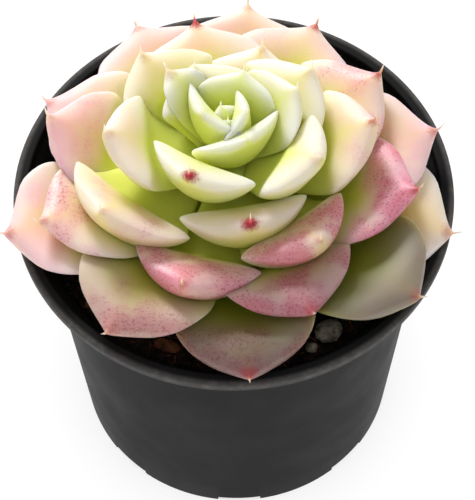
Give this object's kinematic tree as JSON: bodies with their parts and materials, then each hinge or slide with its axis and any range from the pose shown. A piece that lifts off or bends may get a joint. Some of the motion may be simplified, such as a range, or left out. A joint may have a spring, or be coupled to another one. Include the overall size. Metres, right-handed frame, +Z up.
{
  "type": "potted succulent",
  "caption": "Rosette succulent with thick, cupped, pointed leaves on a short stem, rooted in soil in a round plastic nursery pot with a rolled rim and a flat base to stand on.",
  "frame": {"origin": "centre of the pot's flat underside", "axes": "+Z up along the pot's axis, +X to the right and +Y away from a viewer in front of the rosette's lower side"},
  "size_m": [0.1065, 0.1062, 0.1187],
  "materials": {
    "pot_plastic": "satin, moulded",
    "potting_soil": "loose peat and bark mix",
    "stem_skin": "matte, smooth",
    "stone_chip": "rough, broken",
    "bark_chip": "fibrous, dry",
    "leaf_skin": "waxy, translucent, pink towards the margins"
  },
  "bodies": {
    "root": {"pot": "pot_plastic", "soil": "potting_soil", "stem": "stem_skin", "bark_chip_back": "bark_chip", "bark_chip_front": "bark_chip", "bark_chip_left": "bark_chip", "stone_chip_large": "stone_chip", "stone_chip_small": "stone_chip", "leaf_01": "leaf_skin", "leaf_02": "leaf_skin", "leaf_03": "leaf_skin", "leaf_04": "leaf_skin", "leaf_05": "leaf_skin", "leaf_06": "leaf_skin", "leaf_07": "leaf_skin", "leaf_08": "leaf_skin", "leaf_09": "leaf_skin", "leaf_10": "leaf_skin", "leaf_11": "leaf_skin", "leaf_12": "leaf_skin", "leaf_13": "leaf_skin", "leaf_14": "leaf_skin", "leaf_15": "leaf_skin", "leaf_16": "leaf_skin", "leaf_17": "leaf_skin", "leaf_18": "leaf_skin", "leaf_19": "leaf_skin", "leaf_20": "leaf_skin", "leaf_21": "leaf_skin", "leaf_22": "leaf_skin", "leaf_23": "leaf_skin", "leaf_24": "leaf_skin", "leaf_25": "leaf_skin", "leaf_26": "leaf_skin", "leaf_27": "leaf_skin", "leaf_28": "leaf_skin", "leaf_29": "leaf_skin", "leaf_30": "leaf_skin", "leaf_31": "leaf_skin", "leaf_32": "leaf_skin", "leaf_33": "leaf_skin", "leaf_35": "leaf_skin", "leaf_36": "leaf_skin", "leaf_37": "leaf_skin"}
  },
  "joints": []
}
